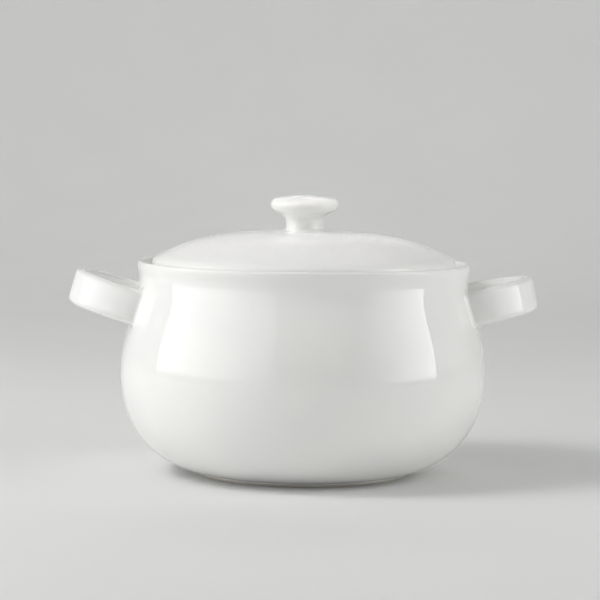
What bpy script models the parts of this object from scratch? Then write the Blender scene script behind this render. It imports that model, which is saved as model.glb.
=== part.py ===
"""Covered casserole dish: pot-bellied ceramic pot, two strap loop handles, inset domed lid and its knob.

Units are metres, +Z is up. The origin is the centre of the foot ring, on the surface the pot stands on.
The handles reach out along -X and +X. The lid lifts off straight up, along the Z axis.
"""

import math

import bpy
from mathutils import Matrix, Vector

MM = 0.001

# Pot: the turned outline, as radius and height.
RIM_RADIUS = 106.0 * MM
RIM_HEIGHT = 135.0 * MM
LIP_ROUND = 1.6 * MM
NECK_RADIUS = 104.9 * MM
NECK_HEIGHT = 124.0 * MM
BELLY_RADIUS = 116.3 * MM
BELLY_HEIGHT = 63.0 * MM
BELLY_INSIDE_HEIGHT = 65.0 * MM
WALL = 6.0 * MM

# The curves of the pot's outline: how each leaves its start and arrives at its end, as (radius, height).
LIP_LEAVE = (0.0, -3.0 * MM)
NECK_ARRIVE = (0.0, 4.0 * MM)
NECK_LEAVE = (0.0, -10.0 * MM)
BELLY_ARRIVE = (0.0, 30.0 * MM)
BELLY_LEAVE = (0.0, -40.0 * MM)
FOOT_ARRIVE = (20.0 * MM, 3.6 * MM)
FLOOR_LEAVE = (40.0 * MM, 0.0)
BELLY_INSIDE_ARRIVE = (0.0, -41.0 * MM)
BELLY_INSIDE_LEAVE = (0.0, 27.0 * MM)
MOUTH_ARRIVE = (0.0, -12.5 * MM)

# Foot ring: the shallow ring that the pot stands on, and the recess inside it.
FOOT_OUTER_RADIUS = 68.2 * MM
FOOT_INNER_RADIUS = 62.0 * MM
FOOT_HEIGHT = 1.8 * MM
FOOT_FLARE = 1.4 * MM
RECESS_RISE = 3.5 * MM
RECESS_SLOPE = 1.5 * MM
FLOOR_TOP = 9.0 * MM
FLOOR_FLAT_RADIUS = 52.0 * MM

# Gallery: the ledge inside the rim that the lid sits on.
LEDGE_HEIGHT = 127.5 * MM
LEDGE_OUTER_RADIUS = 98.8 * MM
MOUTH_RADIUS = 90.5 * MM
GALLERY_ROUND = 1.5 * MM
GALLERY_DEPTH = 7.0 * MM

# Lid: a dome with a thick rounded edge, and a locating flange that hangs inside the mouth.
LID_EDGE_RADIUS = 97.0 * MM
LID_EDGE_ROUND = 5.0 * MM
LID_EDGE_HEIGHT = 133.5 * MM
LID_DOME_RADIUS = 94.5 * MM
LID_CROWN_HEIGHT = 155.1 * MM
LID_CROWN_WALL = 5.0 * MM
LID_DOME_RISE = 17.2 * MM
LID_DOME_SQUARE_SHARE = 0.45
FLANGE_OUTER_RADIUS = 88.5 * MM
FLANGE_INNER_RADIUS = 84.0 * MM
FLANGE_BOTTOM = 121.5 * MM
LID_HOLLOW_RISE = 13.7 * MM

# Knob: a mushroom cap on a waisted neck.
KNOB_TOP_HEIGHT = 177.3 * MM
KNOB_RADIUS = 21.7 * MM
KNOB_CAP_HEIGHT = 171.2 * MM
KNOB_NECK_RADIUS = 11.7 * MM
KNOB_NECK_HEIGHT = 158.6 * MM
KNOB_BASE_RADIUS = 13.6 * MM
KNOB_SHOULDER = (-2.1 * MM, 3.8 * MM)  # from the widest point
KNOB_THROAT = (-7.1 * MM, -6.3 * MM)  # from the widest point
CROWN_LEAVE = (9.0 * MM, 0.0)
SHOULDER_ARRIVE = (-2.6 * MM, 1.8 * MM)
SHOULDER_LEAVE = (1.3 * MM, -0.9 * MM)
CAP_ARRIVE = (0.0, 1.5 * MM)
CAP_LEAVE = (0.0, -3.8 * MM)
THROAT_ARRIVE = (3.0 * MM, 1.9 * MM)
THROAT_LEAVE = (-2.2 * MM, -1.4 * MM)
KNOB_NECK_ARRIVE = (0.0, 2.6 * MM)
KNOB_NECK_LEAVE = (0.0, -2.1 * MM)
KNOB_BASE_ARRIVE = (-1.4 * MM, 0.7 * MM)

# Handles: a flat strap bent into half an ellipse, in a plane that rises away from the pot.
STRAP_THICK = 8.5 * MM
STRAP_HEIGHT = 22.6 * MM
STRAP_CORNER = 3.9 * MM
LOOP_REACH = 46.6 * MM
LOOP_HALF_WIDTH = 36.5 * MM
LOOP_CENTRE_RADIUS = 102.6 * MM
LOOP_TAIL = 9.0 * MM
HANDLES = (
    # name, direction round the pot, rise of the loop's plane, height where that plane meets the wall
    ("handle_left", math.radians(180), math.radians(16), 106.3 * MM),
    ("handle_right", math.radians(0), math.radians(12), 107.6 * MM),
)

GAP = 0.3 * MM
POT_STEPS = 48
KNOB_STEPS = 28
CURVE_STEPS = 9
LIP_CURVE_STEPS = 3
KNOB_CURVE_STEPS = 4
ROUND_STEPS = 4
SMALL_ROUND_STEPS = 2
DOME_STEPS = 9
STRAP_CORNER_STEPS = 3
LOOP_STEPS = 20
MERGE = 0.01 * MM

GLAZE_COLOUR = (0.93, 0.93, 0.91, 1.0)
GLAZE_ROUGHNESS = 0.08


def clear_scene():
    for obj in list(bpy.data.objects):
        bpy.data.objects.remove(obj)


def glaze(name):
    """White gloss glaze over porcelain."""
    material = bpy.data.materials.new(name)
    material.use_nodes = True
    shader = material.node_tree.nodes["Principled BSDF"]
    shader.inputs["Base Color"].default_value = GLAZE_COLOUR
    shader.inputs["Roughness"].default_value = GLAZE_ROUGHNESS
    shader.inputs["Metallic"].default_value = 0.0
    return material


def moved(point, offset):
    return (point[0] + offset[0], point[1] + offset[1])


def bezier(start, leave, arrive, end, steps):
    """Points of a cubic curve after its start, which leaves its start and arrives at its end by offsets."""
    knots = (start, moved(start, leave), moved(end, arrive), end)
    points = []
    for i in range(1, steps + 1):
        t = i / steps
        weights = ((1 - t) ** 3, 3 * (1 - t) ** 2 * t, 3 * (1 - t) * t**2, t**3)
        points.append(tuple(sum(w * k[axis] for w, k in zip(weights, knots)) for axis in (0, 1)))
    return points


def arc(centre, radius, start, end, steps):
    """Points of an arc, from angle start to angle end in degrees, with both ends."""
    angles = [math.radians(start + (end - start) * i / steps) for i in range(steps + 1)]
    return [(centre[0] + radius * math.cos(a), centre[1] + radius * math.sin(a)) for a in angles]


def pot_outside():
    """The pot's outer side from just under the lip down to the top of the foot ring."""
    lip = (RIM_RADIUS, RIM_HEIGHT - LIP_ROUND)
    neck = (NECK_RADIUS, NECK_HEIGHT)
    belly = (BELLY_RADIUS, BELLY_HEIGHT)
    foot = (FOOT_OUTER_RADIUS + FOOT_FLARE, FOOT_HEIGHT)
    points = bezier(lip, LIP_LEAVE, NECK_ARRIVE, neck, LIP_CURVE_STEPS)
    points += bezier(neck, NECK_LEAVE, BELLY_ARRIVE, belly, CURVE_STEPS)
    points += bezier(belly, BELLY_LEAVE, FOOT_ARRIVE, foot, CURVE_STEPS)
    return points


def pot_profile():
    """The pot's section, from the middle of its floor up the inside, over the rim and down the outside."""
    floor_edge = (FLOOR_FLAT_RADIUS, FLOOR_TOP)
    belly_inside = (BELLY_RADIUS - WALL, BELLY_INSIDE_HEIGHT)
    mouth = (MOUTH_RADIUS, LEDGE_HEIGHT - GALLERY_DEPTH)
    points = [(0.0, FLOOR_TOP), floor_edge]
    points += bezier(floor_edge, FLOOR_LEAVE, BELLY_INSIDE_ARRIVE, belly_inside, CURVE_STEPS)
    points += bezier(belly_inside, BELLY_INSIDE_LEAVE, MOUTH_ARRIVE, mouth, CURVE_STEPS)
    ledge_inside = (MOUTH_RADIUS + GALLERY_ROUND, LEDGE_HEIGHT - GALLERY_ROUND)
    points += arc(ledge_inside, GALLERY_ROUND, 180, 90, SMALL_ROUND_STEPS)
    ledge_outside = (LEDGE_OUTER_RADIUS - GALLERY_ROUND, LEDGE_HEIGHT + GALLERY_ROUND)
    points += arc(ledge_outside, GALLERY_ROUND, 270, 325, SMALL_ROUND_STEPS)
    lip = (RIM_RADIUS - LIP_ROUND, RIM_HEIGHT - LIP_ROUND)
    points += arc(lip, LIP_ROUND, 145, 0, ROUND_STEPS)
    points += pot_outside()
    points += [(FOOT_OUTER_RADIUS, 0.0), (FOOT_INNER_RADIUS, 0.0)]
    points += [(FOOT_INNER_RADIUS - RECESS_SLOPE, RECESS_RISE), (0.0, RECESS_RISE)]
    return points


def pot_clearance_profile():
    """The pot's outer side moved out by the gap, closed to the axis: what a handle's ends are cut with."""
    outside = [moved(point, (GAP, 0.0)) for point in pot_outside()]
    return [(0.0, outside[0][1])] + outside + [(0.0, outside[-1][1])]


def dome_drop(reach):
    """How far the dome has come down, as a share of its rise, at a share of its reach."""
    return LID_DOME_SQUARE_SHARE * reach**2 + (1 - LID_DOME_SQUARE_SHARE) * reach**4


def dome_height(radius):
    """Height of the lid's top surface at a radius."""
    return LID_CROWN_HEIGHT - LID_DOME_RISE * dome_drop(radius / LID_DOME_RADIUS)


def hollow_height(radius):
    """Height of the lid's underside at a radius."""
    return LID_CROWN_HEIGHT - LID_CROWN_WALL - LID_HOLLOW_RISE * dome_drop(radius / FLANGE_INNER_RADIUS)


def evenly(reach, steps):
    return [reach * i / steps for i in range(steps + 1)]


def lid_profile():
    """The lid's section, from the crown out over the dome, round the edge, and back along the underside."""
    points = [(radius, dome_height(radius)) for radius in evenly(LID_DOME_RADIUS, DOME_STEPS)]
    edge = (LID_EDGE_RADIUS - LID_EDGE_ROUND, LID_EDGE_HEIGHT)
    points += arc(edge, LID_EDGE_ROUND, 45, 0, ROUND_STEPS)
    seat = LEDGE_HEIGHT + GAP
    under_edge = (LID_EDGE_RADIUS - GALLERY_ROUND, seat + GALLERY_ROUND)
    points += arc(under_edge, GALLERY_ROUND, 0, -90, SMALL_ROUND_STEPS)
    points += [(FLANGE_OUTER_RADIUS, seat)]
    flange_round = 0.5 * (FLANGE_OUTER_RADIUS - FLANGE_INNER_RADIUS)
    flange_end = (FLANGE_INNER_RADIUS + flange_round, FLANGE_BOTTOM + flange_round)
    points += arc(flange_end, flange_round, 0, -180, ROUND_STEPS)
    inwards = reversed(evenly(FLANGE_INNER_RADIUS, DOME_STEPS))
    points += [(radius, hollow_height(radius)) for radius in inwards]
    return points


def knob_profile():
    """The knob's section, from the top of the cap down to its base, which follows the lid's crown."""
    crown = (0.0, KNOB_TOP_HEIGHT)
    widest = (KNOB_RADIUS, KNOB_CAP_HEIGHT)
    shoulder = moved(widest, KNOB_SHOULDER)
    throat = moved(widest, KNOB_THROAT)
    neck = (KNOB_NECK_RADIUS, KNOB_NECK_HEIGHT)
    base = (KNOB_BASE_RADIUS, dome_height(KNOB_BASE_RADIUS) + GAP)
    points = [crown]
    points += bezier(crown, CROWN_LEAVE, SHOULDER_ARRIVE, shoulder, KNOB_CURVE_STEPS)
    points += bezier(shoulder, SHOULDER_LEAVE, CAP_ARRIVE, widest, KNOB_CURVE_STEPS)
    points += bezier(widest, CAP_LEAVE, THROAT_ARRIVE, throat, KNOB_CURVE_STEPS)
    points += bezier(throat, THROAT_LEAVE, KNOB_NECK_ARRIVE, neck, KNOB_CURVE_STEPS)
    points += bezier(neck, KNOB_NECK_LEAVE, KNOB_BASE_ARRIVE, base, KNOB_CURVE_STEPS)
    points += [(0.0, LID_CROWN_HEIGHT + GAP)]
    return points


def turned(name, profile, steps):
    """A solid of revolution about Z: the section as a line of edges, turned by a Screw modifier."""
    mesh = bpy.data.meshes.new(name)
    points = [(radius, 0.0, height) for radius, height in profile]
    edges = [(i, i + 1) for i in range(len(points) - 1)]
    mesh.from_pydata(points, edges, [])
    obj = bpy.data.objects.new(name, mesh)
    bpy.context.scene.collection.objects.link(obj)
    turn = obj.modifiers.new("Turn", "SCREW")
    turn.angle = 2 * math.pi
    turn.steps = steps
    turn.render_steps = steps
    turn.use_merge_vertices = True
    turn.merge_threshold = MERGE
    turn.use_smooth_shade = True
    return obj


def strap_section():
    """The strap's section as (across, up) offsets from its middle, anticlockwise, with rounded corners."""
    half_across = 0.5 * STRAP_THICK - STRAP_CORNER
    half_up = 0.5 * STRAP_HEIGHT - STRAP_CORNER
    points = []
    for quarter, (side, level) in enumerate(((1, 1), (-1, 1), (-1, -1), (1, -1))):
        centre = (side * half_across, level * half_up)
        points += arc(centre, STRAP_CORNER, 90 * quarter, 90 * quarter + 90, STRAP_CORNER_STEPS)
    return points


def loop_stations():
    """Points of the loop's middle line with their outward direction, in the loop's own plane (out, along)."""
    reach = LOOP_REACH - 0.5 * STRAP_THICK
    half_width = LOOP_HALF_WIDTH - 0.5 * STRAP_THICK
    stations = [((-LOOP_TAIL, -half_width), (0.0, -1.0))]
    for i in range(LOOP_STEPS + 1):
        angle = math.radians(-90 + 180 * i / LOOP_STEPS)
        outward = Vector((math.cos(angle) / reach, math.sin(angle) / half_width)).normalized()
        stations.append(((reach * math.cos(angle), half_width * math.sin(angle)), tuple(outward)))
    stations.append(((-LOOP_TAIL, half_width), (0.0, 1.0)))
    return stations


def strap_mesh(name):
    """The strap swept round the loop, in the loop's own frame: X out from the pot, Y along the wall."""
    section = strap_section()
    points = []
    for (out, along), (out_normal, along_normal) in loop_stations():
        for across, up in section:
            points.append((out + across * out_normal, along + across * along_normal, up))
    count = len(section)
    rings = len(points) // count
    faces = []
    for ring in range(rings - 1):
        for i in range(count):
            j = (i + 1) % count
            here, after = ring * count, (ring + 1) * count
            faces.append((here + i, here + j, after + j, after + i))
    faces.append(tuple(range(count - 1, -1, -1)))
    faces.append(tuple(range((rings - 1) * count, rings * count)))
    mesh = bpy.data.meshes.new(name)
    mesh.from_pydata(points, [], faces)
    mesh.shade_smooth()
    return mesh


def handle(name, direction, rise, wall_height, clearance):
    """One loop handle, tipped up by its rise, turned to its side of the pot and cut to the pot's wall."""
    obj = bpy.data.objects.new(name, strap_mesh(name))
    bpy.context.scene.collection.objects.link(obj)
    place = Matrix.Translation((LOOP_CENTRE_RADIUS, 0.0, wall_height))
    obj.matrix_world = Matrix.Rotation(direction, 4, "Z") @ place @ Matrix.Rotation(-rise, 4, "Y")
    cut = obj.modifiers.new("Fit to wall", "BOOLEAN")
    cut.operation = "DIFFERENCE"
    cut.solver = "EXACT"
    cut.object = clearance
    return obj


def empty(name):
    obj = bpy.data.objects.new(name, None)
    bpy.context.scene.collection.objects.link(obj)
    return obj


def finish_part(obj, parent):
    obj.data.materials.append(glaze(obj.name + "_glaze"))
    obj.parent = parent
    return obj


def build():
    clear_scene()
    pot_frame = empty("pot_frame")
    lid_lift_axis = empty("lid_lift_axis")
    lid_lift_axis.parent = pot_frame

    finish_part(turned("pot_body", pot_profile(), POT_STEPS), pot_frame)

    clearance = turned("pot_clearance", pot_clearance_profile(), POT_STEPS)
    clearance.hide_render = True
    clearance.display_type = "WIRE"
    for name, direction, rise, wall_height in HANDLES:
        finish_part(handle(name, direction, rise, wall_height, clearance), pot_frame)

    finish_part(turned("lid", lid_profile(), POT_STEPS), lid_lift_axis)
    finish_part(turned("lid_knob", knob_profile(), KNOB_STEPS), lid_lift_axis)


build()
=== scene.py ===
"""Looks of a covered casserole dish: pot, two strap handles, lid and knob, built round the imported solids.

Units are metres, +Z is up and the pot stands on z = 0. The camera looks along +Y, and the handles lie
along X.
"""

import math

import bmesh
import bpy
from mathutils import Matrix, Vector, noise


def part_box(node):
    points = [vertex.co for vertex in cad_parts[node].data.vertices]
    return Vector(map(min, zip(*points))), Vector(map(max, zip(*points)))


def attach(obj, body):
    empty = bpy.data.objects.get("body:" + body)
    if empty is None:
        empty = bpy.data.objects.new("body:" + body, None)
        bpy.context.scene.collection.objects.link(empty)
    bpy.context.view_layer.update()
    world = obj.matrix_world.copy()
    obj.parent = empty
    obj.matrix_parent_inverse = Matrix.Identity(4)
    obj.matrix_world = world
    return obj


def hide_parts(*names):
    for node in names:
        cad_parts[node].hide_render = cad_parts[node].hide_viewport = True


MM = 0.001

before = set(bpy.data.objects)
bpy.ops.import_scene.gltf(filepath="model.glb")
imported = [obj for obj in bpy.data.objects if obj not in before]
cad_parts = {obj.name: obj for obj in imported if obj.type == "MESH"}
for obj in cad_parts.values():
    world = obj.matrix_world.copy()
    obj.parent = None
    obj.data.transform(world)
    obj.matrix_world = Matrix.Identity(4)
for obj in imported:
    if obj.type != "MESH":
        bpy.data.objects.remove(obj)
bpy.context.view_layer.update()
_, POT_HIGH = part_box("pot_body")
LID_LOW, LID_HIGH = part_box("lid")
_, KNOB_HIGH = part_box("lid_knob")

# Fineness of the meshes.
TURN_SEGMENTS = 256
KNOB_SEGMENTS = 160
CURVE_STEPS = 26
ROUND_STEPS = 8
FLAT_STEPS = 4
POT_FLOOR_STEPS = 10
MOUTH_STEPS = 3
RING_SIDE_STEPS = 2
RECESS_STEPS = 12
KNOB_CAP_STEPS = 14
KNOB_SHOULDER_STEPS = 8
KNOB_THROAT_STEPS = 10
KNOB_BASE_STEPS = 12
LOOP_STATIONS = 150
STRAP_ROUND_STEPS = 10
STRAP_SIDE_STEPS = 6
SAME_PLACE = 1e-7  # nearer than this, two points of a section are one, and a point is on the axis

# Pot outline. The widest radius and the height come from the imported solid.
BELLY_RADIUS = POT_HIGH.x
RIM_HEIGHT = POT_HIGH.z
RIM_RADIUS = 106.0 * MM
LIP_ROUND = 1.6 * MM
LIP_INNER_ANGLE = 160
NECK = (104.9 * MM, 124.0 * MM)
BELLY = (BELLY_RADIUS, 63.0 * MM)
BELLY_INSIDE = (BELLY_RADIUS - 6.0 * MM, 65.0 * MM)
LIP_LEAVE = (0.0, -3.0 * MM)
NECK_ARRIVE = (0.0, 4.0 * MM)
NECK_LEAVE = (0.0, -10.0 * MM)
BELLY_ARRIVE = (0.0, 30.0 * MM)
BELLY_LEAVE = (0.0, -40.0 * MM)
FOOT_ARRIVE = (20.0 * MM, 3.6 * MM)
FLOOR_LEAVE = (40.0 * MM, 0.0)
BELLY_INSIDE_ARRIVE = (0.0, -41.0 * MM)
BELLY_INSIDE_LEAVE = (0.0, 27.0 * MM)
MOUTH_ARRIVE = (0.0, -12.5 * MM)

# Foot ring, with the fine groove above it where the turning tool has cut in.
FOOT_TOP = (69.6 * MM, 2.3 * MM)
FOOT_OUTER_RADIUS = 68.2 * MM
FOOT_INNER_RADIUS = 62.0 * MM
FOOT_GROOVE = 0.5 * MM
GROOVE_BOTTOM = (-0.5 * FOOT_GROOVE, -0.3 * FOOT_GROOVE)  # from the ring's outer radius and the foot's top
FOOT_BARE_HEIGHT = 1.5 * MM
FOOT_ROUND = 1.2 * MM
RECESS_RISE = 3.5 * MM
RECESS_ROUND = 1.5 * MM
FLOOR_EDGE = (52.0 * MM, 9.0 * MM)

# Gallery: the ledge inside the rim. The glaze stops part of the way round the mouth's edge.
LEDGE_HEIGHT = 127.5 * MM
LEDGE_OUTER_RADIUS = 98.8 * MM
MOUTH_RADIUS = 90.5 * MM
GALLERY_ROUND = 1.5 * MM
GALLERY_DEPTH = 7.0 * MM
MOUTH_EDGE = (MOUTH_RADIUS + GALLERY_ROUND, LEDGE_HEIGHT - GALLERY_ROUND)
LEDGE_CORNER = (LEDGE_OUTER_RADIUS - GALLERY_ROUND, LEDGE_HEIGHT + GALLERY_ROUND)
GLAZE_STOP_ANGLE = 110
LEDGE_CORNER_ANGLES = (285, 340)

# Lid.
LID_EDGE_RADIUS = LID_HIGH.x
LID_EDGE_ROUND = 5.0 * MM
LID_EDGE_HEIGHT = 133.5 * MM
LID_EDGE_START_ANGLE = 52
LID_UNDER_EDGE_ANGLE = -60
LID_CROWN_HEIGHT = LID_HIGH.z
LID_CROWN_WALL = 5.0 * MM
LID_DOME_RADIUS = 94.5 * MM
LID_DOME_RISE = 17.2 * MM
LID_DOME_SQUARE_SHARE = 0.45
LID_HOLLOW_RISE = 13.7 * MM
LID_SEAT_HEIGHT = LEDGE_HEIGHT + 0.3 * MM
FLANGE_OUTER_RADIUS = 88.5 * MM
FLANGE_INNER_RADIUS = 84.0 * MM
FLANGE_BOTTOM = LID_LOW.z
FLANGE_SHOULDER = 0.3 * GALLERY_ROUND
FLANGE_INNER_ROUND = 2.5 * MM

# Knob.
KNOB_TOP_HEIGHT = KNOB_HIGH.z
KNOB_WIDEST = (21.7 * MM, 171.2 * MM)
KNOB_SHOULDER = (-2.1 * MM, 3.8 * MM)  # from the widest place, as is the throat
KNOB_THROAT = (-7.1 * MM, -6.3 * MM)
KNOB_NECK = (11.7 * MM, 158.6 * MM)
KNOB_BASE_RADIUS = 13.6 * MM
CROWN_LEAVE = (9.0 * MM, 0.0)
SHOULDER_ARRIVE = (-2.6 * MM, 1.8 * MM)
SHOULDER_LEAVE = (1.3 * MM, -0.9 * MM)
CAP_ARRIVE = (0.0, 1.5 * MM)
CAP_LEAVE = (0.0, -3.8 * MM)
THROAT_ARRIVE = (3.0 * MM, 1.9 * MM)
THROAT_LEAVE = (-2.2 * MM, -1.4 * MM)
KNOB_NECK_ARRIVE = (0.0, 2.6 * MM)
KNOB_NECK_LEAVE = (0.0, -2.6 * MM)
KNOB_BASE_ARRIVE = (-1.5 * MM, 0.1 * MM)
SUNK = 0.4 * MM  # how far a luted piece reaches into what carries it

# Handles.
STRAP_THICK = 8.5 * MM
STRAP_HEIGHT = 22.6 * MM
STRAP_CORNER = 3.9 * MM
LOOP_REACH = 46.6 * MM
LOOP_HALF_WIDTH = 36.5 * MM
LOOP_CENTRE_RADIUS = 102.6 * MM
LOOP_TAIL = 14.0 * MM
TAIL_SHARE = 0.16  # the share of the loop's length that each straight tail takes
STATION_DRAW = 0.72  # how strongly the stations are drawn towards the loop's ends
LUTE_ROUND = 2.6 * MM  # radius of the smoothed clay where a handle meets the wall
LEAST_ALONG_WALL = 0.2  # a skin that faces the wall more squarely than this doesn't flare
WALL_SLOPE_STEP = 0.5 * MM
BISECTIONS = 40
HANDLES = (
    # piece, CAD node, direction round the pot, rise of the loop's plane, height where it meets the wall
    ("strap_handle_left", "handle_left", math.radians(180), math.radians(16), 106.3 * MM),
    ("strap_handle_right", "handle_right", math.radians(0), math.radians(12), 107.6 * MM),
)

# The clay is never quite true: how far the walls wander, over what distance, and how soon above the table.
WANDER = 0.07 * MM
WANDER_SCALE = 55.0 * MM
WANDER_START = 10 * MM
POT_SEED = 3.1
HANDLE_SEED = 11.3
LID_SEED = 7.7
KNOB_SEED = 5.9

GLAZED, BARE = 0, 1


# ---------------------------------------------------------------- outlines


def moved(point, offset):
    return (point[0] + offset[0], point[1] + offset[1])


def bezier(start, leave, arrive, end, steps=CURVE_STEPS):
    """Points of a cubic curve after its start, which leaves its start and arrives at its end by offsets."""
    knots = (start, moved(start, leave), moved(end, arrive), end)
    points = []
    for i in range(1, steps + 1):
        t = i / steps
        weights = ((1 - t) ** 3, 3 * (1 - t) ** 2 * t, 3 * (1 - t) * t**2, t**3)
        points.append(tuple(sum(w * k[axis] for w, k in zip(weights, knots)) for axis in (0, 1)))
    return points


def arc(centre, radius, start, end, steps=ROUND_STEPS):
    """Points of an arc, from angle start to angle end in degrees, with both ends."""
    angles = [math.radians(start + (end - start) * i / steps) for i in range(steps + 1)]
    return [(centre[0] + radius * math.cos(a), centre[1] + radius * math.sin(a)) for a in angles]


def line(start, end, steps=FLAT_STEPS):
    """Points of a straight run after its start."""
    return [
        (start[0] + (end[0] - start[0]) * i / steps, start[1] + (end[1] - start[1]) * i / steps)
        for i in range(1, steps + 1)
    ]


def evenly(start, end, steps):
    return [start + (end - start) * i / steps for i in range(steps + 1)]


def pot_outside():
    """The pot's outer side from just under the lip down to the groove over the foot ring."""
    lip = (RIM_RADIUS, RIM_HEIGHT - LIP_ROUND)
    points = bezier(lip, LIP_LEAVE, NECK_ARRIVE, NECK, ROUND_STEPS)
    points += bezier(NECK, NECK_LEAVE, BELLY_ARRIVE, BELLY)
    points += bezier(BELLY, BELLY_LEAVE, FOOT_ARRIVE, FOOT_TOP)
    return points


def pot_inside():
    """The glazed inside, from the middle of the pot's floor up to where the glaze stops at the ledge."""
    middle = (0.0, FLOOR_EDGE[1])
    mouth = (MOUTH_RADIUS, LEDGE_HEIGHT - GALLERY_DEPTH)
    points = [middle] + line(middle, FLOOR_EDGE, POT_FLOOR_STEPS)
    points += bezier(FLOOR_EDGE, FLOOR_LEAVE, BELLY_INSIDE_ARRIVE, BELLY_INSIDE)
    points += bezier(BELLY_INSIDE, BELLY_INSIDE_LEAVE, MOUTH_ARRIVE, mouth)
    points += line(mouth, (MOUTH_RADIUS, LEDGE_HEIGHT - 2 * GALLERY_ROUND), MOUTH_STEPS)
    points += arc(MOUTH_EDGE, GALLERY_ROUND, 180, GLAZE_STOP_ANGLE)
    return points


def pot_rim(start):
    """The glazed rim and outside, from the ledge's outer end over the lip and down to the bare foot."""
    lip = (RIM_RADIUS - LIP_ROUND, RIM_HEIGHT - LIP_ROUND)
    ring_top = (FOOT_OUTER_RADIUS, FOOT_TOP[1] - FOOT_GROOVE)
    points = [start] + arc(LEDGE_CORNER, GALLERY_ROUND, *LEDGE_CORNER_ANGLES)
    points += arc(lip, LIP_ROUND, LIP_INNER_ANGLE, 0, 2 * ROUND_STEPS)
    points += pot_outside()
    points += [moved((FOOT_OUTER_RADIUS, FOOT_TOP[1]), GROOVE_BOTTOM), ring_top]
    points += line(ring_top, (FOOT_OUTER_RADIUS, FOOT_BARE_HEIGHT), RING_SIDE_STEPS)
    return points


def pot_foot(start):
    """The bare foot ring, from its outer side round under it to its inner side."""
    outside = (FOOT_OUTER_RADIUS - FOOT_ROUND, FOOT_ROUND)
    inside = (FOOT_INNER_RADIUS + FOOT_ROUND, FOOT_ROUND)
    points = [start] + arc(outside, FOOT_ROUND, 0, -90)
    points += line((outside[0], 0.0), (inside[0], 0.0))
    points += arc(inside, FOOT_ROUND, 270, 180)[1:]
    return points


def pot_sections():
    """The pot's section as runs of (points, finish), from the middle of its floor round to under the foot."""
    inside = pot_inside()
    ledge_start = (MOUTH_EDGE[0], LEDGE_HEIGHT)
    ledge = [inside[-1], ledge_start] + line(ledge_start, (LEDGE_CORNER[0], LEDGE_HEIGHT))
    rim = pot_rim(ledge[-1])
    foot = pot_foot(rim[-1])
    recess = (FOOT_INNER_RADIUS - RECESS_ROUND, RECESS_RISE - RECESS_ROUND)
    under = [foot[-1]] + arc(recess, RECESS_ROUND, 0, 90)
    under += line((recess[0], RECESS_RISE), (0.0, RECESS_RISE), RECESS_STEPS)
    return [(inside, GLAZED), (ledge, BARE), (rim, GLAZED), (foot, BARE), (under, GLAZED)]


def dome_drop(reach):
    """How far the dome has come down, as a share of its rise, at a share of its reach."""
    return LID_DOME_SQUARE_SHARE * reach**2 + (1 - LID_DOME_SQUARE_SHARE) * reach**4


def dome_height(radius):
    return LID_CROWN_HEIGHT - LID_DOME_RISE * dome_drop(radius / LID_DOME_RADIUS)


def hollow_height(radius):
    return LID_CROWN_HEIGHT - LID_CROWN_WALL - LID_HOLLOW_RISE * dome_drop(radius / FLANGE_INNER_RADIUS)


def lid_flange(start):
    """The glazed flange and hollow, from the seat's inner end down, round and up to the middle."""
    end_round = 0.5 * (FLANGE_OUTER_RADIUS - FLANGE_INNER_RADIUS)
    end = (FLANGE_INNER_RADIUS + end_round, FLANGE_BOTTOM + end_round)
    points = [start, (FLANGE_OUTER_RADIUS + FLANGE_SHOULDER, LID_SEAT_HEIGHT - FLANGE_SHOULDER)]
    points += [(FLANGE_OUTER_RADIUS, LID_SEAT_HEIGHT - GALLERY_ROUND)]
    points += arc(end, end_round, 0, -180, 2 * ROUND_STEPS)
    hollow_edge = hollow_height(FLANGE_INNER_RADIUS) - FLANGE_INNER_ROUND
    points += line(points[-1], (FLANGE_INNER_RADIUS, hollow_edge))
    hollow = evenly(FLANGE_INNER_RADIUS - FLANGE_INNER_ROUND, 0.0, CURVE_STEPS)
    points += [(radius, hollow_height(radius)) for radius in hollow]
    return points


def lid_sections():
    """The lid's section as runs of (points, finish), from the crown over the dome and back underneath."""
    over = [(radius, dome_height(radius)) for radius in evenly(0.0, LID_DOME_RADIUS, 2 * CURVE_STEPS)]
    edge = (LID_EDGE_RADIUS - LID_EDGE_ROUND, LID_EDGE_HEIGHT)
    over += arc(edge, LID_EDGE_ROUND, LID_EDGE_START_ANGLE, 0)
    under_edge = (LID_EDGE_RADIUS - GALLERY_ROUND, LID_SEAT_HEIGHT + GALLERY_ROUND)
    over += arc(under_edge, GALLERY_ROUND, 0, LID_UNDER_EDGE_ANGLE)
    seat = [over[-1], (under_edge[0], LID_SEAT_HEIGHT)]
    seat += line(seat[-1], (FLANGE_OUTER_RADIUS + GALLERY_ROUND, LID_SEAT_HEIGHT))
    return [(over, GLAZED), (seat, BARE), (lid_flange(seat[-1]), GLAZED)]


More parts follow.
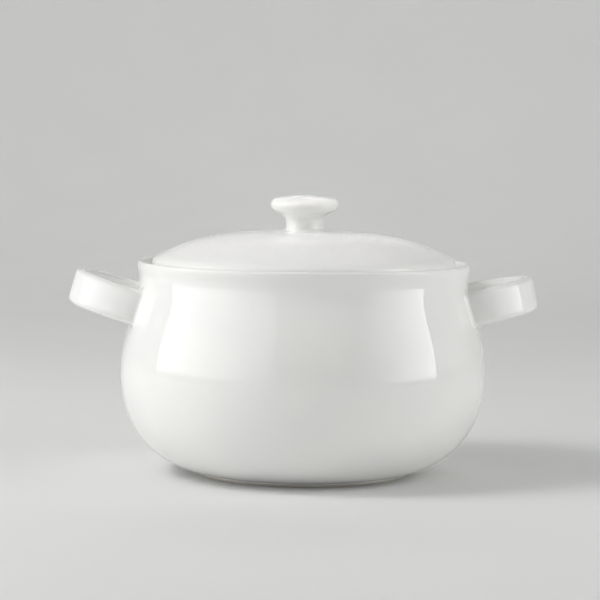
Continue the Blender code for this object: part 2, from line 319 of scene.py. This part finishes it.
def knob_sections():
    """The knob's section from the top of the cap down its neck to a base that runs out onto the lid."""
    crown = (0.0, KNOB_TOP_HEIGHT)
    shoulder = moved(KNOB_WIDEST, KNOB_SHOULDER)
    throat = moved(KNOB_WIDEST, KNOB_THROAT)
    base = (KNOB_BASE_RADIUS, dome_height(KNOB_BASE_RADIUS))
    points = [crown]
    points += bezier(crown, CROWN_LEAVE, SHOULDER_ARRIVE, shoulder, KNOB_CAP_STEPS)
    points += bezier(shoulder, SHOULDER_LEAVE, CAP_ARRIVE, KNOB_WIDEST, KNOB_SHOULDER_STEPS)
    points += bezier(KNOB_WIDEST, CAP_LEAVE, THROAT_ARRIVE, throat, KNOB_CAP_STEPS)
    points += bezier(throat, THROAT_LEAVE, KNOB_NECK_ARRIVE, KNOB_NECK, KNOB_THROAT_STEPS)
    points += bezier(KNOB_NECK, KNOB_NECK_LEAVE, KNOB_BASE_ARRIVE, base, KNOB_BASE_STEPS)
    points += [(KNOB_BASE_RADIUS, base[1] - SUNK), (0.0, LID_CROWN_HEIGHT - SUNK)]
    return [(points, GLAZED)]


# ---------------------------------------------------------------- meshes


def wander(point, seed):
    """A slow, small unevenness between -1 and 1 at a place on the clay."""
    return noise.noise(Vector(point) / WANDER_SCALE + Vector((seed, seed, seed)))


def new_object(name, data):
    obj = bpy.data.objects.new(name, data)
    bpy.context.scene.collection.objects.link(obj)
    return obj


def smooth_object(name, shape):
    mesh = bpy.data.meshes.new(name)
    shape.to_mesh(mesh)
    shape.free()
    mesh.shade_smooth()
    return new_object(name, mesh)


def closed_object(name, shape):
    """A smooth object of a closed surface, with its faces turned outwards."""
    bmesh.ops.recalc_face_normals(shape, faces=shape.faces)
    return smooth_object(name, shape)


def turned_ring(shape, radius, height, segments, seed):
    """The verts of one ring of a turned piece, or the one vert that closes it on its axis."""
    if radius < SAME_PLACE:
        return [shape.verts.new((0.0, 0.0, height))]
    ring = []
    for i in range(segments):
        angle = 2 * math.pi * i / segments
        place = (radius * math.cos(angle), radius * math.sin(angle), height)
        out = WANDER * (wander(place, seed) - 1.0) * min(1.0, height / WANDER_START)
        moved_out = radius + out
        ring.append(shape.verts.new((moved_out * math.cos(angle), moved_out * math.sin(angle), height)))
    return ring


def turned_rings(shape, sections, segments, seed):
    """A (ring, finish) for each point of the sections, leaving out a point that repeats the one before it."""
    rings = []
    last = None
    for points, finish in sections:
        for point in points:
            if last is not None and math.dist(point, last) < SAME_PLACE:
                continue
            rings.append((turned_ring(shape, *point, segments, seed), finish))
            last = point
    return rings


def join_rings(shape, here, after, segments, finish):
    """The faces between one ring and the next."""
    for i in range(segments):
        j = (i + 1) % segments
        if len(here) == 1:
            corners = (here[0], after[i], after[j])
        elif len(after) == 1:
            corners = (here[i], after[0], here[j])
        else:
            corners = (here[i], after[i], after[j], here[j])
        shape.faces.new(corners).material_index = finish


def turned(name, sections, segments, seed):
    """A turned piece: its section swept round Z, each run of it with its own finish."""
    shape = bmesh.new()
    rings = turned_rings(shape, sections, segments, seed)
    for (here, _), (after, finish) in zip(rings, rings[1:]):
        join_rings(shape, here, after, segments, finish)
    return closed_object(name, shape)


WALL_OUTLINE = pot_outside()


def wall_radius_at(height):
    """Outer radius of the pot at a height."""
    for (r0, z0), (r1, z1) in zip(WALL_OUTLINE, WALL_OUTLINE[1:]):
        if z1 <= height <= z0:
            return r0 + (r1 - r0) * (height - z0) / (z1 - z0)
    return WALL_OUTLINE[0][0]


def away_from_axis(place):
    return Vector((place.x, place.y, 0.0)).normalized()


def wall_normal(place):
    """Outward direction of the pot's wall nearest a place beside it."""
    above = wall_radius_at(place.z + WALL_SLOPE_STEP)
    below = wall_radius_at(place.z - WALL_SLOPE_STEP)
    slope = (above - below) / (2 * WALL_SLOPE_STEP)
    return (away_from_axis(place) - Vector((0.0, 0.0, slope))).normalized()


def wall_distance(place):
    """How far a place is outside the pot's wall, near enough."""
    level_gap = math.hypot(place.x, place.y) - wall_radius_at(place.z)
    return level_gap * wall_normal(place).dot(away_from_axis(place))


def strap_section():
    """The strap's section as (across, up) offsets with outward directions, anticlockwise."""
    half_across = 0.5 * STRAP_THICK - STRAP_CORNER
    half_up = 0.5 * STRAP_HEIGHT - STRAP_CORNER
    corners = ((1, 1), (-1, 1), (-1, -1), (1, -1))

    def skin(side, level, out):
        return (side * half_across + STRAP_CORNER * out[0], level * half_up + STRAP_CORNER * out[1]), out

    points = []
    for quarter, (side, level) in enumerate(corners):
        for i in range(STRAP_ROUND_STEPS + 1):
            angle = math.radians(90 * (quarter + i / STRAP_ROUND_STEPS))
            out = (math.cos(angle), math.sin(angle))
            points.append(skin(side, level, out))
        next_side, next_level = corners[(quarter + 1) % len(corners)]
        for i in range(1, STRAP_SIDE_STEPS):
            t = i / STRAP_SIDE_STEPS
            points.append(skin(side + (next_side - side) * t, level + (next_level - level) * t, out))
    return points


def loop_point(share):
    """Middle line of the loop at a share from 0 to 1 along it: (out, along), and its outward direction."""
    reach = LOOP_REACH - 0.5 * STRAP_THICK
    half_width = LOOP_HALF_WIDTH - 0.5 * STRAP_THICK
    if share < TAIL_SHARE:
        return (-LOOP_TAIL * (1 - share / TAIL_SHARE), -half_width), (0.0, -1.0)
    if share > 1 - TAIL_SHARE:
        return (-LOOP_TAIL * (1 - (1 - share) / TAIL_SHARE), half_width), (0.0, 1.0)
    angle = math.pi * ((share - TAIL_SHARE) / (1 - 2 * TAIL_SHARE) - 0.5)
    outward = Vector((math.cos(angle) / reach, math.sin(angle) / half_width)).normalized()
    return (reach * math.cos(angle), half_width * math.sin(angle)), tuple(outward)


def strap_place(placing, offset, share):
    """Where a point of the strap's section lies at a share along the loop."""
    (out, along), (out_normal, along_normal) = loop_point(share)
    across, up = offset
    return placing @ Vector((out + across * out_normal, along + across * along_normal, up))


def share_at_wall(placing, offset, end):
    """The share along the loop, from its end at 0 or 1, where a line of the strap comes out of the wall."""
    inside, outside = end, 0.5
    for _ in range(BISECTIONS):
        middle = 0.5 * (inside + outside)
        if wall_distance(strap_place(placing, offset, middle)) < -SUNK:
            inside = middle
        else:
            outside = middle
    return inside


def eased(share):
    """Stations drawn towards both ends, where the luted clay flares."""
    return share - math.sin(2 * math.pi * share) / (2 * math.pi) * STATION_DRAW


def lute_flare(distance):
    """How far the strap's skin stands out for the smoothed clay, at a distance from the wall."""
    if distance >= LUTE_ROUND:
        return 0.0
    rise = LUTE_ROUND - max(distance, 0.0)
    return LUTE_ROUND - math.sqrt(max(LUTE_ROUND**2 - rise**2, 0.0))


def skin_point(placing, offset, out, share, seed):
    """A point of the handle's skin: on the strap, and flared where it comes to the wall."""
    point = strap_place(placing, offset, share)
    _, (out_normal, along_normal) = loop_point(share)
    outward = placing.to_3x3() @ Vector((out[0] * out_normal, out[0] * along_normal, out[1]))
    flare = lute_flare(wall_distance(point))
    if flare > 0:
        normal = wall_normal(point)
        along_wall = outward - outward.dot(normal) * normal
        if along_wall.length > LEAST_ALONG_WALL:
            point = point + along_wall.normalized() * flare
    return point + outward * WANDER * (wander(point, seed) - 1.0)


def skin_line(shape, placing, offset, out, seed):
    """The verts along one line of the strap, from wall to wall."""
    first = share_at_wall(placing, offset, 0.0)
    final = share_at_wall(placing, offset, 1.0)
    line_verts = []
    for i in range(LOOP_STATIONS + 1):
        share = first + (final - first) * eased(i / LOOP_STATIONS)
        line_verts.append(shape.verts.new(skin_point(placing, offset, out, share, seed)))
    return line_verts


def close_end(shape, rim):
    """A fan of faces over an open end."""
    middle = shape.verts.new(sum((vert.co for vert in rim), Vector()) / len(rim))
    for here, after in zip(rim, rim[1:] + rim[:1]):
        shape.faces.new((here, after, middle))


def strap_handle(name, direction, rise, wall_height, seed):
    """A strap loop that runs into the wall at both ends and flares there."""
    place = Matrix.Translation((LOOP_CENTRE_RADIUS, 0.0, wall_height))
    placing = Matrix.Rotation(direction, 4, "Z") @ place @ Matrix.Rotation(-rise, 4, "Y")
    shape = bmesh.new()
    lines = [skin_line(shape, placing, offset, out, seed) for offset, out in strap_section()]
    for here, after in zip(lines, lines[1:] + lines[:1]):
        for i in range(LOOP_STATIONS):
            shape.faces.new((here[i], after[i], after[i + 1], here[i + 1]))
    for end in (0, LOOP_STATIONS):
        close_end(shape, [line_verts[end] for line_verts in lines])
    return closed_object(name, shape)


# ---------------------------------------------------------------- materials

# Noise and speck scales are per metre.
GLAZE_COOL = (0.905, 0.909, 0.898)
GLAZE_WARM = (0.920, 0.915, 0.895)
GLAZE_CLOUD_SCALE = 18.0
GLAZE_SPECK = (0.42, 0.36, 0.30)
GLAZE_SPECK_SCALE = 170.0
GLAZE_SPECK_RADIUS = 0.22 * MM
GLAZE_SPECK_SHARE = 0.03
GLAZE_SMEAR_SCALE = 45.0
GLAZE_ROUGHNESS = (0.025, 0.06)
GLAZE_RIPPLE_SCALE = 70.0
GLAZE_RIPPLE_DEPTH = 0.02 * MM
GLAZE_SKIN_SCALE = 420.0
GLAZE_SKIN_DEPTH = 0.0012 * MM
GLAZE_IOR = 1.6

CLAY_DARK = (0.62, 0.58, 0.50)
CLAY_PALE = (0.71, 0.68, 0.61)
CLAY_CLOUD_SCALE = 30.0
CLAY_GRIT = (0.40, 0.33, 0.26)
CLAY_GRIT_SCALE = 600.0
CLAY_GRIT_RADIUS = 0.2 * MM
CLAY_GRIT_SHARE = 0.12
CLAY_DRY_SCALE = 300.0
CLAY_ROUGHNESS = (0.72, 0.9)
CLAY_SAND_SCALE = 1600.0
CLAY_SAND_DEPTH = 0.04 * MM

NOISE_RANGE = (0.3, 0.7)  # where nearly all of a noise's values lie
CLOUD_RANGE = (0.35, 0.65)
WHOLE = (0.0, 1.0)
SPECK_EDGE = 0.001

FLOOR_COLOUR = (0.827, 0.829, 0.820)
FLOOR_MOTTLE = 0.985  # the darkest mottling, as a share of the colour
FLOOR_MOTTLE_SCALE = 6.0
FLOOR_ROUGHNESS = 0.9
FLOOR_SPECULAR = 0.1
FAR_WALL_COLOUR = (0.40, 0.40, 0.40)
FAR_WALL_RANGE = (-1.6, -2.6)  # the Y over which the floor and wall turn to the far wall's colour


class Nodes:
    """Short calls for building a material's node tree."""

    def __init__(self, name):
        self.material = bpy.data.materials.new(name)
        self.material.use_nodes = True
        self.tree = self.material.node_tree
        self.shader = self.tree.nodes["Principled BSDF"]
        self.place = self.tree.nodes.new("ShaderNodeTexCoord").outputs["Object"]

    def link(self, source, target):
        self.tree.links.new(source, target)

    def noise(self, scale, detail=2.0, roughness=0.5):
        node = self.tree.nodes.new("ShaderNodeTexNoise")
        node.inputs["Scale"].default_value = scale
        node.inputs["Detail"].default_value = detail
        node.inputs["Roughness"].default_value = roughness
        self.link(self.place, node.inputs["Vector"])
        return node.outputs["Fac"]

    def spread(self, value, source, target):
        """The value with its range source turned into the range target, and held at both ends."""
        node = self.tree.nodes.new("ShaderNodeMapRange")
        node.inputs["From Min"].default_value, node.inputs["From Max"].default_value = source
        node.inputs["To Min"].default_value, node.inputs["To Max"].default_value = target
        self.link(value, node.inputs["Value"])
        return node.outputs["Result"]

    def mix(self, share, first, second):
        node = self.tree.nodes.new("ShaderNodeMix")
        node.data_type = "RGBA"
        self.link(share, node.inputs["Factor"])
        for key, colour in (("A", first), ("B", second)):
            socket = next(s for s in node.inputs if s.name == key and s.type == "RGBA")
            if isinstance(colour, tuple):
                socket.default_value = (*colour, 1.0)
            else:
                self.link(colour, socket)
        return next(s for s in node.outputs if s.type == "RGBA")

    def times(self, first, second):
        node = self.tree.nodes.new("ShaderNodeMath")
        node.operation = "MULTIPLY"
        self.link(first, node.inputs[0])
        self.link(second, node.inputs[1])
        return node.outputs["Value"]

    def specks(self, scale, radius, share):
        """1 in round specks, on a share of the cells of a Voronoi pattern."""
        node = self.tree.nodes.new("ShaderNodeTexVoronoi")
        node.inputs["Scale"].default_value = scale
        self.link(self.place, node.inputs["Vector"])
        split = self.tree.nodes.new("ShaderNodeSeparateColor")
        self.link(node.outputs["Color"], split.inputs["Color"])
        spot = self.spread(node.outputs["Distance"], (0.5 * radius * scale, radius * scale), (1.0, 0.0))
        chosen = self.spread(split.outputs["Red"], (1.0 - share, 1.0 - share + SPECK_EDGE), WHOLE)
        return self.times(spot, chosen)

    def bump(self, height, depth, before=None):
        node = self.tree.nodes.new("ShaderNodeBump")
        node.inputs["Strength"].default_value = 1.0
        node.inputs["Distance"].default_value = depth
        self.link(height, node.inputs["Height"])
        if before is not None:
            self.link(before, node.inputs["Normal"])
        return node.outputs["Normal"]


def glaze_material(name):
    """White gloss glaze: faint clouding, a few pinprick specks, a skin that ripples slightly."""
    nodes = Nodes(name)
    cloud = nodes.spread(nodes.noise(GLAZE_CLOUD_SCALE, detail=3.0), CLOUD_RANGE, WHOLE)
    specks = nodes.specks(GLAZE_SPECK_SCALE, GLAZE_SPECK_RADIUS, GLAZE_SPECK_SHARE)
    colour = nodes.mix(specks, nodes.mix(cloud, GLAZE_COOL, GLAZE_WARM), GLAZE_SPECK)
    nodes.link(colour, nodes.shader.inputs["Base Color"])
    smear = nodes.noise(GLAZE_SMEAR_SCALE, detail=4.0, roughness=0.6)
    nodes.link(nodes.spread(smear, NOISE_RANGE, GLAZE_ROUGHNESS), nodes.shader.inputs["Roughness"])
    ripple = nodes.bump(nodes.noise(GLAZE_RIPPLE_SCALE, detail=1.0), GLAZE_RIPPLE_DEPTH)
    skin = nodes.bump(nodes.noise(GLAZE_SKIN_SCALE, detail=1.0), GLAZE_SKIN_DEPTH, ripple)
    nodes.link(skin, nodes.shader.inputs["Normal"])
    nodes.shader.inputs["IOR"].default_value = GLAZE_IOR
    return nodes.material


def bare_clay_material(name):
    """Unglazed fired clay: matt, sandy and a little creamier than the glaze."""
    nodes = Nodes(name)
    cloud = nodes.spread(nodes.noise(CLAY_CLOUD_SCALE, detail=3.0), NOISE_RANGE, WHOLE)
    grit = nodes.specks(CLAY_GRIT_SCALE, CLAY_GRIT_RADIUS, CLAY_GRIT_SHARE)
    colour = nodes.mix(grit, nodes.mix(cloud, CLAY_DARK, CLAY_PALE), CLAY_GRIT)
    nodes.link(colour, nodes.shader.inputs["Base Color"])
    roughness = nodes.spread(nodes.noise(CLAY_DRY_SCALE, detail=3.0), NOISE_RANGE, CLAY_ROUGHNESS)
    nodes.link(roughness, nodes.shader.inputs["Roughness"])
    sand = nodes.bump(nodes.noise(CLAY_SAND_SCALE, detail=3.0, roughness=0.6), CLAY_SAND_DEPTH)
    nodes.link(sand, nodes.shader.inputs["Normal"])
    return nodes.material


def studio_material(name):
    """A plain pale painted surface with the faintest mottling, darker on the wall behind the camera."""
    nodes = Nodes(name)
    cloud = nodes.spread(nodes.noise(FLOOR_MOTTLE_SCALE, detail=3.0), NOISE_RANGE, WHOLE)
    darker = tuple(FLOOR_MOTTLE * channel for channel in FLOOR_COLOUR)
    pale = nodes.mix(cloud, darker, FLOOR_COLOUR)
    split = nodes.tree.nodes.new("ShaderNodeSeparateXYZ")
    nodes.link(nodes.place, split.inputs["Vector"])
    far = nodes.spread(split.outputs["Y"], FAR_WALL_RANGE, WHOLE)
    nodes.link(nodes.mix(far, pale, FAR_WALL_COLOUR), nodes.shader.inputs["Base Color"])
    nodes.shader.inputs["Roughness"].default_value = FLOOR_ROUGHNESS
    nodes.shader.inputs["Specular IOR Level"].default_value = FLOOR_SPECULAR
    return nodes.material


# ---------------------------------------------------------------- the object


def dress(obj, *materials):
    for material in materials:
        obj.data.materials.append(material)


def declare(obj, body, slot, *nodes):
    """Rides on its body and stands for its CAD nodes. The slot is not used."""
    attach(obj, body)
    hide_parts(*nodes)


def make_object():
    clay = bare_clay_material("bare_clay")

    pot = turned("glazed_pot", pot_sections(), TURN_SEGMENTS, POT_SEED)
    dress(pot, glaze_material("pot_glaze"), clay)
    declare(pot, "pot", "pot_glaze", "pot_body")

    handle_glaze = glaze_material("handle_glaze")
    for number, (name, node, direction, rise, wall_height) in enumerate(HANDLES):
        handle = strap_handle(name, direction, rise, wall_height, HANDLE_SEED + number)
        dress(handle, handle_glaze)
        declare(handle, "pot", "handle_glaze", node)

    lid = turned("domed_lid", lid_sections(), TURN_SEGMENTS, LID_SEED)
    dress(lid, glaze_material("lid_glaze"), clay)
    declare(lid, "lid", "lid_glaze", "lid")

    knob = turned("mushroom_knob", knob_sections(), KNOB_SEGMENTS, KNOB_SEED)
    dress(knob, glaze_material("knob_glaze"))
    declare(knob, "lid", "knob_glaze", "lid_knob")


# ---------------------------------------------------------------- studio

CAMERA_DISTANCE = 1.5
CAMERA_HEIGHT = 0.22415
CAMERA_PITCH = 0.0757
CAMERA_ROLL = 0.0126
CAMERA_YAW = math.radians(1.5)
CAMERA_LENS = 141.23
CAMERA_SENSOR = 36.0
CAMERA_SHIFT = -0.00575

FLOOR_FLAT_RADIUS = 2.3
FLOOR_FLAT_STEPS = 6
SWEEP_RADIUS = 1.2
SWEEP_STEPS = 24
WALL_TOP = 2.4
STUDIO_SEGMENTS = 96

PANEL_DISTANCE = 1.3
AMBIENT_COLOUR = (0.99, 1.0, 0.99, 1.0)
AMBIENT_STRENGTH = 0.18


def make_camera():
    data = bpy.data.cameras.new("camera")
    data.lens = CAMERA_LENS
    data.sensor_width = CAMERA_SENSOR
    data.shift_x = CAMERA_SHIFT
    camera = new_object("camera", data)
    back = Vector((-math.sin(CAMERA_YAW), -math.cos(CAMERA_YAW), 0.0))
    place = CAMERA_DISTANCE * back + Vector((0.0, 0.0, CAMERA_HEIGHT))
    look = Matrix.Rotation(-CAMERA_YAW, 4, "Z") @ Matrix.Rotation(math.pi / 2 - CAMERA_PITCH, 4, "X")
    camera.matrix_world = Matrix.Translation(place) @ look @ Matrix.Rotation(CAMERA_ROLL, 4, "Z")
    bpy.context.scene.camera = camera


def make_floor():
    """A round pale floor that sweeps up into a wall all round, open at the top."""
    run = line((0.0, 0.0), (FLOOR_FLAT_RADIUS, 0.0), FLOOR_FLAT_STEPS)
    run += arc((FLOOR_FLAT_RADIUS, SWEEP_RADIUS), SWEEP_RADIUS, -90, 0, SWEEP_STEPS)[1:]
    run.append((FLOOR_FLAT_RADIUS + SWEEP_RADIUS, WALL_TOP))
    angles = [2 * math.pi * i / STUDIO_SEGMENTS for i in range(STUDIO_SEGMENTS)]
    shape = bmesh.new()
    rings = [[shape.verts.new((0.0, 0.0, 0.0))]]
    for radius, height in run:
        rings.append([shape.verts.new((radius * math.cos(a), radius * math.sin(a), height)) for a in angles])
    for here, after in zip(rings, rings[1:]):
        join_rings(shape, here, after, STUDIO_SEGMENTS, 0)
    floor = smooth_object("floor", shape)
    dress(floor, studio_material("pale_floor"))


def panel_glow(data, glow, soft_foot):
    """Nodes that fade a panel from side to side, and out towards its lower edge."""
    tree = data.node_tree
    place = tree.nodes.new("ShaderNodeNewGeometry").outputs["Parametric"]
    split = tree.nodes.new("ShaderNodeSeparateXYZ")
    tree.links.new(place, split.inputs["Vector"])
    fade = tree.nodes.new("ShaderNodeMapRange")
    fade.inputs["To Max"].default_value, fade.inputs["To Min"].default_value = glow
    tree.links.new(split.outputs["X"], fade.inputs["Value"])
    brightness = fade.outputs["Result"]
    if soft_foot > 0:
        foot = tree.nodes.new("ShaderNodeMapRange")
        foot.interpolation_type = "SMOOTHSTEP"
        foot.inputs["From Max"].default_value = soft_foot
        product = tree.nodes.new("ShaderNodeMath")
        product.operation = "MULTIPLY"
        tree.links.new(split.outputs["Y"], foot.inputs["Value"])
        tree.links.new(foot.outputs["Result"], product.inputs[0])
        tree.links.new(brightness, product.inputs[1])
        brightness = product.outputs["Value"]
    tree.links.new(brightness, tree.nodes["Emission"].inputs["Strength"])


def panel(name, width, height, glow):
    """A rectangular light that the camera doesn't see.

    A white wall that it lights fully is as bright as its glow.
    """
    data = bpy.data.lights.new(name, "AREA")
    data.shape = "RECTANGLE"
    data.size = width
    data.size_y = height
    data.energy = math.pi * width * height * glow
    light = new_object(name, data)
    light.visible_camera = False
    return light


def softbox(name, azimuths, elevations, glow, soft_foot=0.0, glossy=True):
    """An upright soft panel that fills these angles as seen from the pot.

    Azimuths run from the front, positive to the left, and the lower comes first. The glow is the panel's
    brightness at the first azimuth and at the second. A soft foot is the share of the panel's height over
    which it fades out towards its lower edge.
    """
    middle = math.radians(0.5 * (azimuths[0] + azimuths[1]))
    half_turn = math.radians(0.5 * (azimuths[1] - azimuths[0]))
    low, high = (PANEL_DISTANCE * math.tan(math.radians(elevation)) for elevation in elevations)
    towards = Vector((-math.sin(middle), -math.cos(middle), 0.0))
    light = panel(name, 2 * PANEL_DISTANCE * math.tan(half_turn), high - low, 1.0)
    light.data.use_nodes = True
    panel_glow(light.data, glow, soft_foot)
    light.location = PANEL_DISTANCE * towards + Vector((0.0, 0.0, 0.5 * (low + high)))
    light.rotation_euler = towards.to_track_quat("Z", "Y").to_euler()
    light.visible_glossy = glossy


def overhead(name, place, width, depth, glow, spread=180.0):
    """A flat soft panel that faces straight down, with its beam narrowed to a spread in degrees."""
    light = panel(name, width, depth, glow)
    light.data.spread = math.radians(spread)
    light.location = place
    light.visible_glossy = False


def make_world():
    world = bpy.data.worlds.new("studio")
    world.use_nodes = True
    background = world.node_tree.nodes["Background"]
    background.inputs["Color"].default_value = AMBIENT_COLOUR
    background.inputs["Strength"].default_value = AMBIENT_STRENGTH
    bpy.context.scene.world = world
    bpy.context.scene.view_settings.view_transform = "Standard"


def make_lights():
    softbox("key_low", azimuths=(20, 101), elevations=(0.2, 22), glow=(0.5, 2.9), soft_foot=0.22)
    softbox("key_high", azimuths=(20, 100), elevations=(22, 40), glow=(0.7, 2.15))
    softbox("key_top", azimuths=(58, 86), elevations=(40, 54), glow=(10.5, 10.5), glossy=False)
    softbox("fill", azimuths=(-87, -38), elevations=(0.2, 42), glow=(3.8, 0.2), soft_foot=0.07)
    softbox("back_fill", azimuths=(-125, -88), elevations=(0.2, 30), glow=(0.2, 0.7), soft_foot=0.2)
    overhead("top_light", place=(-0.8, 0.0, 1.5), width=1.0, depth=1.0, glow=1.1)
    overhead("lid_light", place=(0.0, 0.0, 1.6), width=0.12, depth=0.12, glow=0.5, spread=6)
    overhead("backdrop_wash", place=(0.0, 2.2, 1.8), width=2.5, depth=0.8, glow=2.2)


make_object()
make_floor()
make_camera()
make_lights()
make_world()
